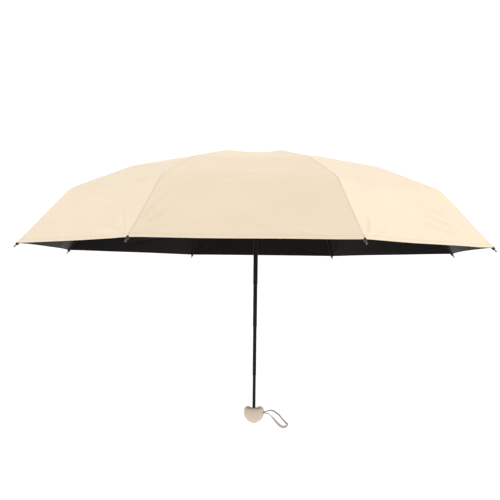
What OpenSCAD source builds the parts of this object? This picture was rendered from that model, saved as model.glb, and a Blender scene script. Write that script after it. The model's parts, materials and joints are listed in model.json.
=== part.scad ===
// Five-fold pocket umbrella, shown open. The origin is the middle of the hand grip, on the shaft's
// axis, and +Z points up the shaft. Eight ribs stand at 22.5, 67.5 ... degrees, and each rib lies
// in its own radial plane, so a rib is drawn along +X and turned into place.

/* [Shaft] */
// Outer diameter of the bottom tube, the thinnest one
bottom_tube_d = 6; // [5.6:0.1:6.6]
// How much wider each tube is than the one below it
tube_step = 0.9; // [0.86:0.01:0.94]
// Wall of a tube
tube_wall = 0.35; // [0.32:0.01:0.36]
// Height of the lower tube's bottom end
lower_tube_z = 75; // [70:1:80]
// Height of the middle tube's bottom end
middle_tube_z = 168; // [164:1:172]
// Height of the upper tube's bottom end
upper_tube_z = 250; // [246:1:256]
// Height of the top tube's bottom end
top_tube_z = 345; // [343:1:348]
// Length that stays inside the next tube when the shaft is out
tube_overlap = 20; // [16:1:24]

/* [Frame] */
// Height of the crown's rib pivots
crown_z = 487.6; // [480:0.1:495]
// Radius of the wire rings that the ribs turn on
pivot_r = 8.5; // [8.2:0.1:8.8]
// Slope of the stretchers when open
open_angle = 21.7; // [20:0.1:23]
// Length of a top rib, and of a stretcher up to that joint
top_rib_len = 57; // [55:0.5:58]
// Length of a stretcher past the top rib
stretcher_out = 59; // [57:0.5:62]
// Length of an inner rib
inner_rib_len = 128.4; // [120:0.1:132]
// Fall of an inner rib
inner_fall = 11; // [9:0.1:14]
// Length of a middle rib
middle_rib_len = 118.9; // [112:0.1:124]
// Fall of a middle rib
middle_fall = 24.2; // [20:0.1:26]
// Length of a tip rib, up to the canopy's corner
tip_rib_len = 136.1; // [130:0.1:140]
// Fall of a tip rib
tip_fall = 46; // [40:0.1:48]
// Width of a rib bar
bar_w = 3.2; // [3:0.1:3.4]
// Height of a rib bar
bar_h = 2.3; // [2:0.1:2.4]

/* [Canopy] */
// Thickness of the canopy cloth's solid
cloth_t = 0.6; // [0.4:0.1:0.7]
// Depth of the arc that each hem is cut to
hem_arc = 12; // [6:1:18]
// Length of metal tip that shows past the canopy's corner
tip_out = 7; // [5:0.5:9]

/* [Handle] */
// Height of the handle
handle_h = 32.2; // [30:0.1:34]
// Width of the handle at its ears
handle_w = 38.8; // [36:0.1:40]
// Thickness of the handle, front to back
handle_d = 24; // [22:0.5:26]
// Wall of the handle's shells
handle_wall = 2; // [1.6:0.1:2.4]
// Width of the wrist strap
strap_w = 7; // [5:0.5:8]
// Thickness of the wrist strap
strap_t = 1.4; // [1:0.1:1.6]

/* [Hidden] */
ribs = 8;
rib_turn = 360 / ribs;
$fn = 48;
gap = 0.02;           // between a fixed pin and its hole
pin_gap = 0.05;       // radial clearance of a turning pin
side_gap = 0.2;       // beside a tongue in its fork
eps = 0.5;            // how far a cutter runs past a face

// Colours
cloth_colour = [0.93, 0.88, 0.79];
handle_colour = [0.80, 0.74, 0.66];
black_metal = [0.10, 0.10, 0.10];
black_plastic = [0.14, 0.14, 0.14];
bare_metal = [0.62, 0.62, 0.62];

// Points of a rib's plane, as [distance from the shaft's axis, height]
function ahead(p, angle, len) = [p[0] + len * cos(angle), p[1] + len * sin(angle)];
function above(p, angle, h) = [p[0] - h * sin(angle), p[1] + h * cos(angle)];
crown_pivot = [pivot_r, crown_z];
elbow = ahead(crown_pivot, -open_angle, top_rib_len);
runner_pivot = [pivot_r, elbow[1] - top_rib_len * sin(open_angle)];
runner_z = runner_pivot[1];
stretcher_len = top_rib_len + stretcher_out;
joint_1 = ahead(runner_pivot, open_angle, stretcher_len);
joint_2 = ahead(joint_1, -inner_fall, inner_rib_len);
joint_3 = ahead(joint_2, -middle_fall, middle_rib_len);
corner = ahead(joint_3, -tip_fall, tip_rib_len);

// Where the bars run beside the line of their pivots
under_rise = 2.2;     // bars above a joint that folds its undersides together
over_drop = -1.8;     // bars below a joint that folds its tops together
stretcher_rise = 1.3;
cloth_over_under = 6.2;
cloth_over_over = 2.6;
cloth_over_tip = 1.9;

// Rib hardware
disc_r = 1.6;
small_disc_r = 1.45;
pin_r = 0.55;
elbow_pin_r = 0.6;
wire_r = 0.45;
tongue_w = 1.2;
cheek_in = tongue_w / 2 + side_gap;
hub_tongue_w = 1.6;
bar_start = 2.3;
hub_start = 7.4;
strap_in = bar_w / 2 + side_gap;
strap_wide = 0.7;
rod_r = 0.4;
rod_side = bar_w / 2 + 1.1;
rod_end = 9;
tip_rod_r = 1;
tip_bar_len = 34;

// Hub, runner and cap
top_tube_d = bottom_tube_d + 4 * tube_step;
hub_r = 11.5;
crown_top = crown_z + 4.6;
crown_bottom = crown_z - 6;
tube_top_z = crown_z - 1;
slot_w = 2;
slot_in = 6.4;
slot_over = 2;
groove_r = 0.5;
cap_r = 12.5;
cap_h = 3;
cloth_z = crown_z + 5.4;
cap_z = cloth_z + 0.2;
stem_r = 2.9;
runner_r = 11;
runner_top = runner_z + 3;
runner_waist = runner_z - 5;
runner_bottom = runner_z - 24;
sleeve_r = 7;

// Catch
catch_w = 2.2;
catch_nose_top = runner_bottom - 0.3;
catch_nose_h = 9;
catch_out = 2;
catch_leaf_t = 0.4;

// Handle: its outline has a round chin, and two round ears above it
chin_r = 19.3;
ear_r = 8;
handle_top = handle_h / 2;
handle_bottom = -handle_h / 2;
chin_z = handle_bottom + 19.6;
ear_x = handle_w / 2 - ear_r;
ear_z = handle_top - ear_r;
brow_z = handle_top - 2.8;
plug_r = 6;
plug_t = 2;
socket_r = 5.5;
socket_bottom = -10;
socket_top = brow_z - 1;
strap_z = 4.7;
strap_slot_h = 5;
clip_x = 10.5;
clip_len = 4;

// Route of the wrist strap: out of the handle's side, round its loop and back.
// Each point is [x, y, z, turn of the band about its run, 0 lying flat along Y].
strap_route = [
    [14.5, 0, 5.8, 0], [19.5, 0, 5.8, 0], [25.5, 1, 7, 0], [32, 2, 8.2, 5], [37.5, 3, 7, 10],
    [43, 4, 3.5, 12], [49, 5, -1.5, 12], [55, 5, -8.5, 12], [61, 4, -14.5, 15],
    [64, 2.5, -17.5, 25], [63.5, 1, -20, 35], [60.5, 0, -22, 45], [56.5, -1, -22.5, 50],
    [51.5, -2.5, -20.5, 50], [46, -3.5, -15.5, 45], [40.5, -4, -9.5, 35],
    [35, -3.5, -3.5, 20], [30.5, -2.5, 0.5, 10], [26, -1, 2.8, 0], [20, 0, 3.6, 0],
    [14.5, 0, 3.6, 0]
];

// One full-width rib bar, from [x0, rise0] to [x1, rise1] along the line of its pivots
module bar(x0, rise0, x1, rise1) {
    slope = atan2(rise1 - rise0, x1 - x0);
    len = norm([x1 - x0, rise1 - rise0]);
    translate([x0, -bar_w / 2, rise0])
        rotate([0, -slope, 0])
            translate([0, 0, -bar_h / 2])
                cube([len, bar_w, bar_h]);
}

// A cylinder across the rib's plane
module across(r, half) {
    rotate([90, 0, 0])
        cylinder(r = r, h = 2 * half, center = true);
}

// The pair of cheeks or the single tongue that ties a bar's end to its pivot.
// dir is 1 where the bar runs ahead of the pivot, and -1 where it runs up to it.
module lug_strip(dir, rise, y_low, y_high) {
    near = sign(rise) * 0.15;
    far = rise + sign(rise) * bar_h / 2;
    translate([dir > 0 ? 0 : -bar_start - 1, y_low, min(near, far)])
        cube([bar_start + 1, y_high - y_low, abs(far - near)]);
}

module tongue_end(x, dir, rise, r) {
    translate([x, 0, 0]) {
        across(r, tongue_w / 2);
        lug_strip(dir, rise, -tongue_w / 2, tongue_w / 2);
    }
}

module fork_end(x, dir, rise, r) {
    translate([x, 0, 0])
        for (side = [-1, 1]) {
            y_low = side > 0 ? cheek_in : -bar_w / 2;
            translate([0, y_low + (bar_w / 2 - cheek_in) / 2, 0])
                across(r, (bar_w / 2 - cheek_in) / 2);
            lug_strip(dir, rise, y_low, y_low + bar_w / 2 - cheek_in);
        }
}

// A rivet with two flat heads
module rivet(x, r, half, head_r) {
    translate([x, 0, 0]) {
        across(r, half + gap + 0.3);
        for (side = [-1, 1])
            translate([0, side * (half + gap + 0.15), 0])
                across(head_r, 0.15);
    }
}

// The wire that runs beside a rib and ties its neighbours' folds together
module control_rod(len, rise0, rise1) {
    slope = atan2(rise1 - rise0, len);
    for (side = [-1, 1]) {
        translate([rod_end, side * rod_side, rise0 + rod_end * tan(slope)])
            rotate([0, 90 - slope, 0])
                cylinder(r = rod_r, h = len - 2 * rod_end);
        for (x = [rod_end + 1, len - rod_end - 1])
            translate([x, side * (rod_side / 2 + 0.6), rise0 + x * tan(slope)])
                across(rod_r, rod_side / 2 - 0.6);
    }
}

// Turns a part that is drawn along +X into rib k's plane, at a point and slope of that plane
module in_rib(k, p, slope) {
    rotate([0, 0, rib_turn * (k - 0.5)])
        translate([p[0], 0, p[1]])
            rotate([0, -slope, 0])
                children();
}

module top_rib(k) color(black_metal)
    in_rib(k, crown_pivot, -open_angle) {
        difference() {
            union() {
                across(disc_r - 0.1, hub_tongue_w / 2);
                translate([0, -hub_tongue_w / 2, -1.15])
                    cube([hub_start + 1, hub_tongue_w, bar_h]);
                translate([hub_start, -strap_in - strap_wide, -1.5])
                    cube([5, 2 * (strap_in + strap_wide), 3]);
                for (y = [-strap_in - strap_wide, strap_in])
                    translate([hub_start + 1, y, -1.5])
                        cube([top_rib_len - hub_start - 1, strap_wide, 3]);
                for (side = [-1, 1])
                    translate([top_rib_len, side * (strap_in + strap_wide / 2), 0])
                        across(1.5, strap_wide / 2);
            }
            across(wire_r + 0.1, hub_tongue_w);
            translate([top_rib_len, 0, 0])
                across(elbow_pin_r + gap, strap_in + strap_wide + eps);
        }
        rivet(top_rib_len, elbow_pin_r, strap_in + strap_wide, 1.1);
    }

module stretcher(k) color(black_metal)
    in_rib(k, runner_pivot, open_angle) {
        difference() {
            union() {
                across(disc_r - 0.1, hub_tongue_w / 2);
                translate([0, -hub_tongue_w / 2, -1.15])
                    cube([hub_start + 1, hub_tongue_w, bar_h]);
                bar(hub_start, 0, stretcher_len - bar_start, stretcher_rise);
                translate([top_rib_len, 0, 0])
                    across(disc_r, bar_w / 2 - 0.1);
                fork_end(stretcher_len, -1, stretcher_rise, disc_r);
            }
            across(wire_r + 0.1, hub_tongue_w);
            translate([top_rib_len, 0, 0])
                across(elbow_pin_r + pin_gap, bar_w);
            translate([stretcher_len, 0, 0])
                across(pin_r + gap, bar_w);
        }
        rivet(stretcher_len, pin_r, bar_w / 2, 1);
    }

module inner_rib(k) color(black_metal)
    in_rib(k, joint_1, -inner_fall) {
        difference() {
            union() {
                tongue_end(0, 1, under_rise, disc_r);
                bar(bar_start, under_rise, inner_rib_len - bar_start, over_drop);
                fork_end(inner_rib_len, -1, over_drop, small_disc_r);
                control_rod(inner_rib_len, under_rise, over_drop);
            }
            across(pin_r + pin_gap, bar_w);
            translate([inner_rib_len, 0, 0])
                across(pin_r + gap, bar_w);
        }
        rivet(inner_rib_len, pin_r, bar_w / 2, 0.9);
    }

module middle_rib(k) color(black_metal)
    in_rib(k, joint_2, -middle_fall) {
        difference() {
            union() {
                tongue_end(0, 1, over_drop, small_disc_r);
                bar(bar_start, over_drop, middle_rib_len - bar_start, under_rise);
                fork_end(middle_rib_len, -1, under_rise, disc_r);
                control_rod(middle_rib_len, over_drop, under_rise);
            }
            across(pin_r + pin_gap, bar_w);
            translate([middle_rib_len, 0, 0])
                across(pin_r + gap, bar_w);
        }
        rivet(middle_rib_len, pin_r, bar_w / 2, 1);
    }

// The last section: a short channel, a round rod, and the metal tip with its ball
module tip_rib(k) color(black_metal)
    in_rib(k, joint_3, -tip_fall) {
        slope = atan2(-under_rise, tip_rib_len);
        rod_len = tip_rib_len + tip_out - 20;
        difference() {
            union() {
                tongue_end(0, 1, under_rise, disc_r);
                bar(bar_start, under_rise, tip_bar_len, under_rise * (1 - tip_bar_len / tip_rib_len));
                translate([20, 0, under_rise * (1 - 20 / tip_rib_len)])
                    rotate([0, 90 - slope, 0])
                        cylinder(r = tip_rod_r, h = rod_len);
            }
            across(pin_r + pin_gap, bar_w);
        }
        translate([tip_rib_len, 0, 0])
            rotate([0, 90 - slope, 0])
                translate([0, 0, tip_out + gap])
                    sphere(r = 1.5);
    }

// A tube of the shaft: i is 0 for the bottom tube and 4 for the top one
module tube(i, low, high) {
    d = bottom_tube_d + i * tube_step;
    translate([0, 0, low])
        difference() {
            cylinder(d = d, h = high - low);
            translate([0, 0, -eps])
                cylinder(d = d - 2 * tube_wall, h = high - low + 2 * eps);
        }
}

module bottom_tube() color(black_metal)
    difference() {
        tube(0, socket_bottom + 2, lower_tube_z + tube_overlap);
        translate([0, 0, -4])
            across(1, 10);
    }

module lower_tube() color(black_metal)
    tube(1, lower_tube_z, middle_tube_z + tube_overlap);

module middle_tube() color(black_metal)
    tube(2, middle_tube_z, upper_tube_z + tube_overlap);

module upper_tube() color(black_metal)
    tube(3, upper_tube_z, top_tube_z + tube_overlap);

module top_tube() color(black_metal)
    difference() {
        tube(4, top_tube_z, tube_top_z);
        translate([-catch_w / 2 - 0.2, -top_tube_d, catch_nose_top - catch_nose_h - 0.4])
            cube([catch_w + 0.4, top_tube_d, catch_nose_h + 0.8]);
    }

// Radial slots, and the ring groove that a wire lies in
module rib_slots(z, low, high) {
    for (k = [1:ribs])
        rotate([0, 0, rib_turn * (k - 0.5)])
            translate([slot_in, -slot_w / 2, low])
                cube([hub_r, slot_w, high - low]);
    translate([0, 0, z])
        rotate_extrude()
            translate([pivot_r, 0])
                circle(r = groove_r, $fn = 24);
}

module crown() color(black_plastic)
    difference() {
        translate([0, 0, crown_bottom])
            cylinder(r = hub_r, h = crown_top - crown_bottom);
        translate([0, 0, crown_bottom - eps])
            cylinder(d = top_tube_d + 2 * gap, h = tube_top_z + gap - crown_bottom + eps);
        translate([0, 0, crown_z + 0.6])
            cylinder(r = stem_r + 0.1, h = 10);
        rib_slots(crown_z, crown_bottom - eps, crown_z + slot_over);
    }

module ring_wire(z) {
    translate([0, 0, z])
        rotate_extrude()
            translate([pivot_r, 0])
                circle(r = wire_r, $fn = 24);
}

module crown_wire() color(bare_metal)
    ring_wire(crown_z);

module runner_wire() color(bare_metal)
    ring_wire(runner_z);

// The domed cap on top of the canopy, with the stem that holds the cloth to the crown
module top_cap() color(black_plastic) {
    dome_r = (cap_r * cap_r + cap_h * cap_h) / (2 * cap_h);
    translate([0, 0, cap_z])
        intersection() {
            cylinder(r = cap_r, h = cap_h, $fn = 96);
            translate([0, 0, cap_h - dome_r])
                sphere(r = dome_r, $fn = 120);
        }
    translate([0, 0, crown_z + 1])
        cylinder(r = stem_r, h = cap_z + 0.5 - crown_z - 1);
}

module runner() color(black_plastic)
    difference() {
        union() {
            translate([0, 0, runner_waist])
                cylinder(r = runner_r, h = runner_top - runner_waist);
            translate([0, 0, runner_bottom])
                cylinder(r = sleeve_r, h = runner_waist - runner_bottom + 1);
            translate([0, 0, runner_bottom])
                cylinder(r = sleeve_r + 2, h = 3);
        }
        translate([0, 0, runner_bottom - eps])
            cylinder(d = top_tube_d + 0.16, h = runner_top - runner_bottom + 2 * eps);
        rib_slots(runner_z, runner_z - slot_over, runner_top + eps);
    }

// A leaf spring inside the top tube, with the nose that the runner stands on
module runner_catch() color(bare_metal) {
    leaf_y = -top_tube_d / 2 + tube_wall + 0.25;
    low = catch_nose_top - catch_nose_h;
    translate([-catch_w / 2, leaf_y, low - 14])
        cube([catch_w, catch_leaf_t, catch_nose_h + 14]);
    translate([-catch_w / 2, 0, 0])
        rotate([90, 0, 90])
            linear_extrude(catch_w)
                polygon([
                    [leaf_y, low], [leaf_y, catch_nose_top],
                    [-top_tube_d / 2 - catch_out, catch_nose_top],
                    [-top_tube_d / 2 - catch_out, catch_nose_top - 1.5],
                    [-top_tube_d / 2, low]
                ]);
}

// The canopy's section along a rib, from the crown to the corner
function cloth_f1() = above(joint_1, -inner_fall / 2, cloth_over_under);
function cloth_f2() = above(joint_2, -(inner_fall + middle_fall) / 2, cloth_over_over);
function cloth_f3() = above(joint_3, -(middle_fall + tip_fall) / 2, cloth_over_under);
function cloth_tip() = above(corner, -tip_fall, cloth_over_tip);
function mix(a, b, f) = a + (b - a) * f;

cloth_line = [
    [4, cloth_z], [14, cloth_z], mix([14, cloth_z], cloth_f1(), 0.5), cloth_f1(),
    mix(cloth_f1(), cloth_f2(), 0.5), cloth_f2(), mix(cloth_f2(), cloth_f3(), 0.5), cloth_f3(),
    mix(cloth_f3(), cloth_tip(), 0.33), mix(cloth_f3(), cloth_tip(), 0.67), cloth_tip()
];
cloth_rings = len(cloth_line);
gore_steps = 6;
cloth_round = ribs * gore_steps;

// A point of the canopy: ring i of the section, step j round the shaft, dropped by down
function cloth_point(i, j, down) =
    let (
        turn = rib_turn * (0.5 + floor(j / gore_steps)),
        f = (j % gore_steps) / gore_steps,
        r = cloth_line[i][0],
        a = [r * cos(turn), r * sin(turn)],
        b = [r * cos(turn + rib_turn), r * sin(turn + rib_turn)],
        hollow = 1 - 4 * f * (1 - f) * hem_arc / corner[0] * pow(r / corner[0], 2),
        p = mix(a, b, f) * hollow
    )
    [p[0], p[1], cloth_line[i][1] - down];

function at(side, i, j) = (side * cloth_rings + i) * cloth_round + j % cloth_round;

module canopy() color(cloth_colour) {
    n = cloth_round;
    m = cloth_rings;
    points = [
        for (side = [0, 1]) for (i = [0:m - 1]) for (j = [0:n - 1])
            cloth_point(i, j, side * cloth_t)
    ];
    polyhedron(points, concat(
        [for (i = [0:m - 2]) for (j = [0:n - 1]) each [
            [at(0, i, j), at(0, i, j + 1), at(0, i + 1, j)],
            [at(0, i, j + 1), at(0, i + 1, j + 1), at(0, i + 1, j)],
            [at(1, i, j), at(1, i + 1, j), at(1, i, j + 1)],
            [at(1, i, j + 1), at(1, i + 1, j), at(1, i + 1, j + 1)]
        ]],
        [for (j = [0:n - 1]) each [
            [at(0, 0, j), at(1, 0, j), at(0, 0, j + 1)],
            [at(0, 0, j + 1), at(1, 0, j), at(1, 0, j + 1)],
            [at(0, m - 1, j), at(0, m - 1, j + 1), at(1, m - 1, j)],
            [at(0, m - 1, j + 1), at(1, m - 1, j + 1), at(1, m - 1, j)]
        ]]
    ), convexity = 6);
}

// The handle's solid, shrunk by a wall all round
module handle_form(wall) {
    intersection() {
        translate([0, 0, chin_z])
            scale([(chin_r - wall) / 10, (handle_d / 2 - wall) / 10, (chin_r - wall) / 10])
                sphere(r = 10, $fn = 40);
        translate([-50, -50, handle_bottom + wall])
            cube([100, 100, brow_z - handle_bottom - 2 * wall]);
    }
    for (side = [-1, 1])
        translate([side * ear_x, 0, ear_z])
            sphere(r = ear_r - wall, $fn = 32);
}

module handle_half(side) {
    difference() {
        handle_form(0);
        handle_form(handle_wall);
        translate([-50, side > 0 ? -100 + 0.01 : -0.01, -50])
            cube([100, 100, 100]);
        translate([0, 0, -4])
            cylinder(d = bottom_tube_d + 0.3, h = 40);
        translate([0, 0, handle_bottom - 10])
            cylinder(r = plug_r + gap, h = 14);
        translate([10, -strap_w / 2 - 0.6, strap_z - strap_slot_h / 2])
            cube([20, strap_w + 1.2, strap_slot_h]);
    }
}

module handle_front() color(handle_colour)
    handle_half(-1);

module handle_back() color(handle_colour)
    handle_half(1);

// The insert that the bottom tube is pinned in
module handle_socket() color(black_plastic)
    difference() {
        translate([0, 0, socket_bottom])
            cylinder(r = socket_r, h = socket_top - handle_wall - socket_bottom);
        translate([0, 0, socket_bottom + 2 - gap])
            cylinder(d = bottom_tube_d + 2 * gap, h = 40);
        translate([0, 0, -4])
            across(1 + gap, 10);
    }

module handle_pin() color(bare_metal)
    translate([0, 0, -4])
        across(1 - gap, socket_r);

// The round plug that closes the bottom of the handle, with a flat foot
module handle_plug() color(handle_colour)
    translate([0, 0, handle_bottom])
        cylinder(r = plug_r, h = plug_t + 2);

// The crimp that holds both ends of the wrist strap inside the handle
module strap_clip() color(bare_metal)
    difference() {
        translate([clip_x - 2, -strap_w / 2 - 0.8, strap_z - 2.6])
            cube([clip_len, strap_w + 1.6, 5.2]);
        translate([clip_x - 1, -strap_w / 2 - 0.2, strap_z - 2])
            cube([clip_len, strap_w + 0.4, 4]);
    }

// The wrist strap is an eight-sided flat band swept along its route
strap_ring = [for (a = [22.5:45:360]) [strap_w / 2 * cos(a) / cos(22.5), strap_t / 2 * sin(a)]];

function unit(v) = v / norm(v);
function place(i) = [strap_route[i][0], strap_route[i][1], strap_route[i][2]];
function run_at(i) =
    unit(place(min(i + 1, len(strap_route) - 1)) - place(max(i - 1, 0)));
function strap_point(i, c) =
    let (
        t = run_at(i),
        flat = unit(cross(t, cross([0, 1, 0], t))),
        up = cross(t, flat),
        a = strap_route[i][3],
        wide = flat * cos(a) + up * sin(a),
        thick = up * cos(a) - flat * sin(a)
    )
    place(i) + wide * c[0] + thick * c[1];

module wrist_strap() color(handle_colour) {
    n = len(strap_ring);
    m = len(strap_route);
    polyhedron(
        [for (i = [0:m - 1]) for (c = strap_ring) strap_point(i, c)],
        concat(
            [[for (j = [0:n - 1]) n - 1 - j]],
            [for (i = [0:m - 2]) for (j = [0:n - 1]) each [
                [i * n + j, i * n + (j + 1) % n, (i + 1) * n + j],
                [i * n + (j + 1) % n, (i + 1) * n + (j + 1) % n, (i + 1) * n + j]
            ]],
            [[for (j = [0:n - 1]) (m - 1) * n + j]]
        )
    );
}

handle_front();
handle_back();
handle_socket();
handle_pin();
handle_plug();
strap_clip();
wrist_strap();
bottom_tube();
lower_tube();
middle_tube();
upper_tube();
top_tube();
crown();
crown_wire();
top_cap();
runner();
runner_wire();
runner_catch();
canopy();
for (k = [1:ribs]) {
    top_rib(k);
    stretcher(k);
    inner_rib(k);
    middle_rib(k);
    tip_rib(k);
}
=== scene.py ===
"""The looks of an open five-fold pocket umbrella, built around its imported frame.

Lengths are metres. The shaft stands on Z, and rib k leaves it at (k - 0.5) * 45 degrees.
"""
import json
import math

import bmesh
import bpy
import numpy as np
from mathutils import Matrix, Vector


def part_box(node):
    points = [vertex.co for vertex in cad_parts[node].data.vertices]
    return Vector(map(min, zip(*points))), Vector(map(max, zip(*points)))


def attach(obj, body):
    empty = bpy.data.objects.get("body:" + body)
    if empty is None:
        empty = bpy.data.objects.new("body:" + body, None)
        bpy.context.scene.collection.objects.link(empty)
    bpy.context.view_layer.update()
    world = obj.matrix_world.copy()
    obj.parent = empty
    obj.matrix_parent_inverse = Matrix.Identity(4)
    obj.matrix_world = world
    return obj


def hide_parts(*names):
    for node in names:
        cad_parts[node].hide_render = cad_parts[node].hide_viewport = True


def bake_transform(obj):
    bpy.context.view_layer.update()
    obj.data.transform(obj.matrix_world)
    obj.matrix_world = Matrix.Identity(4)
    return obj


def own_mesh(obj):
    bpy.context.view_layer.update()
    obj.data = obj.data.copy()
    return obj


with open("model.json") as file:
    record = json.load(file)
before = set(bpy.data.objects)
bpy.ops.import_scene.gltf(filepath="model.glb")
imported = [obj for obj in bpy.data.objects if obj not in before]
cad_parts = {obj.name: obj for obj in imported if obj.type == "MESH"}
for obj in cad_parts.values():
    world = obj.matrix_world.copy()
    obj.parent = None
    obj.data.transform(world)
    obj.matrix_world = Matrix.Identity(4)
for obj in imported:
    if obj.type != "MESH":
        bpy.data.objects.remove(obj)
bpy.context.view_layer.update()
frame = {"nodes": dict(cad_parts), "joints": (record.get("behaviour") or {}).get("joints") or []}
nodes = frame["nodes"]
MM = 0.001
RIBS = 8
RIB_TURN = 2 * math.pi / RIBS
pivots = {j["name"]: j.get("pos_m") for j in frame["joints"]}


# ---------------------------------------------------------------- small helpers

def unit(v):
    v = np.asarray(v, float)
    return v / np.linalg.norm(v)


def smooth_step(t):
    t = np.clip(t, 0.0, 1.0)
    return t * t * (3 - 2 * t)


def rib_direction(k):
    angle = (k - 0.5) * RIB_TURN
    return np.array([math.cos(angle), math.sin(angle), 0.0])


def in_rib_plane(k, r, z):
    """A point of rib k's plane, at radius r and height z."""
    return rib_direction(k) * r + np.array([0.0, 0.0, z])


def add_mesh(name, points, faces, materials, indices=None, smooth=True):
    mesh = bpy.data.meshes.new(name)
    mesh.from_pydata([tuple(p) for p in points], [], [tuple(f) for f in faces])
    for m in materials:
        mesh.materials.append(m)
    if indices is not None:
        mesh.polygons.foreach_set("material_index", np.asarray(indices, np.int32))
    mesh.polygons.foreach_set("use_smooth", [smooth] * len(mesh.polygons))
    mesh.update()
    piece = bpy.data.objects.new(name, mesh)
    bpy.context.scene.collection.objects.link(piece)
    return piece


def flatten_modifiers(piece, name=None):
    """A plain mesh of the piece as its modifiers leave it."""
    bpy.context.view_layer.update()
    graph = bpy.context.evaluated_depsgraph_get()
    mesh = bpy.data.meshes.new_from_object(piece.evaluated_get(graph))
    plain = bpy.data.objects.new(name or piece.name + "_made", mesh)
    bpy.context.scene.collection.objects.link(plain)
    bpy.data.objects.remove(piece)
    return plain


def fasten(piece, body, stands_for=None):
    """What the piece moves with, and the frame's node that it replaces."""
    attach(piece, body)
    if stands_for:
        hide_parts(stands_for)


# ---------------------------------------------------------------- materials

THREADS = 620.0              # the canopy cloth's warp and weft, as the wave texture counts them
FULL_SPREAD = (0.3, 0.7)     # the part of a noise that its blend is spread over


class Finish:
    """Builds one node material around a Principled shader."""

    def __init__(self, name, colour, roughness, metallic=0.0, **shader):
        self.material = bpy.data.materials.new(name)
        self.material.use_nodes = True
        self.tree = self.material.node_tree
        self.shader = self.tree.nodes["Principled BSDF"]
        self.shader.inputs["Base Color"].default_value = (*colour, 1)
        self.shader.inputs["Roughness"].default_value = roughness
        self.shader.inputs["Metallic"].default_value = metallic
        for socket, value in shader.items():
            self.shader.inputs[socket.replace("_", " ")].default_value = value
        self.height = None

    def node(self, kind, inputs=None, **settings):
        n = self.tree.nodes.new(kind)
        for key, value in settings.items():
            setattr(n, key, value)
        for key, value in (inputs or {}).items():
            if isinstance(value, bpy.types.NodeSocket):
                self.tree.links.new(value, n.inputs[key])
            else:
                n.inputs[key].default_value = value
        return n

    def place(self, uv=False, scale=(1, 1, 1), turn=0.0):
        if uv:
            source = self.node("ShaderNodeUVMap", uv_map="cloth").outputs["UV"]
        else:
            source = self.node("ShaderNodeTexCoord").outputs["Object"]
        return self.node("ShaderNodeMapping", {
            "Vector": source, "Scale": scale, "Rotation": (0, 0, turn)}).outputs["Vector"]

    def noise(self, where, scale, detail=3.0, roughness=0.55):
        return self.node("ShaderNodeTexNoise", {
            "Vector": where, "Scale": scale, "Detail": detail,
            "Roughness": roughness}).outputs["Fac"]

    def wave(self, where, scale, direction="X", distortion=0.0):
        return self.node("ShaderNodeTexWave", {
            "Vector": where, "Scale": scale, "Distortion": distortion},
            bands_direction=direction).outputs["Fac"]

    def weave(self, where, warp=THREADS, weft=THREADS):
        return self.sums("MULTIPLY", self.wave(where, warp, "X"), self.wave(where, weft, "Y"))

    def blend(self, factor, low, high):
        mix = self.node("ShaderNodeMix", data_type="RGBA")
        self.tree.links.new(factor, mix.inputs["Factor"])
        for socket, value in ((mix.inputs[6], low), (mix.inputs[7], high)):
            if isinstance(value, bpy.types.NodeSocket):
                self.tree.links.new(value, socket)
            else:
                socket.default_value = (*value, 1)
        return mix.outputs[2]

    def clouded(self, cloud, colour, dark, light):
        """The colour, a little darker and lighter by turns."""
        return self.blend(self.spread(cloud, *FULL_SPREAD),
                          shade(colour, dark), shade(colour, light))

    def spread(self, value, low, high, to_low=0.0, to_high=1.0):
        return self.node("ShaderNodeMapRange", {
            "Value": value, "From Min": low, "From Max": high,
            "To Min": to_low, "To Max": to_high}).outputs["Result"]

    def sums(self, operation, a, b):
        n = self.node("ShaderNodeMath", {0: a, 1: b}, operation=operation)
        return n.outputs["Value"]

    def vary(self, name, socket):
        """Lets the shader's value vary over the surface."""
        self.tree.links.new(socket, self.shader.inputs[name])

    def bump(self, height, strength, distance):
        inputs = {"Height": height, "Strength": strength, "Distance": distance}
        if self.height is not None:
            inputs["Normal"] = self.height
        self.height = self.node("ShaderNodeBump", inputs).outputs["Normal"]
        self.tree.links.new(self.height, self.shader.inputs["Normal"])


def shade(colour, by):
    return tuple(min(1.0, c * by) for c in colour)


def make_cloth_outside():
    cream = (0.845, 0.715, 0.535)
    f = Finish("canopy_cloth_outside", cream, 0.62, Sheen_Weight=0.06, Sheen_Roughness=0.45,
               Specular_IOR_Level=0.2)
    where = f.place(uv=True)
    weave = f.weave(where)
    slub = f.noise(f.place(uv=True, scale=(160, 1400, 1)), 1.0, 2.0)
    cloud = f.noise(f.place(uv=True), 9.0, 4.0)
    tone = f.clouded(cloud, cream, 0.975, 1.02)
    tone = f.blend(f.spread(slub, 0.55, 0.8, 0.0, 0.35), tone, shade(cream, 0.9))
    # painted shade: the cloth is darkened in a band 0.5 to 2 mm from each seam, where the seam's
    # groove lies
    seam = f.node("ShaderNodeAttribute", attribute_name="from_seam").outputs["Fac"]
    near = f.sums("MULTIPLY", f.spread(seam, 0.0005, 0.0009),
                  f.spread(seam, 0.0014, 0.0020, 1.0, 0.0))
    tone = f.blend(f.sums("MULTIPLY", near, 0.5), tone, shade(cream, 0.6))
    f.vary("Base Color", tone)
    f.vary("Roughness", f.spread(weave, 0.0, 1.0, 0.7, 0.55))
    f.bump(weave, 0.25, 0.00008)
    f.bump(slub, 0.12, 0.0001)
    return f.material


def make_cloth_inside():
    black = (0.0044, 0.0031, 0.0024)
    f = Finish("canopy_cloth_inside", black, 0.5, Specular_IOR_Level=0.05)
    where = f.place(uv=True)
    weave = f.weave(where)
    cloud = f.noise(where, 14.0, 4.0)
    f.vary("Base Color", f.clouded(cloud, black, 0.8, 1.45))
    f.vary("Roughness", f.spread(cloud, *FULL_SPREAD, 0.44, 0.58))
    f.bump(weave, 0.18, 0.00006)
    return f.material


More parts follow.
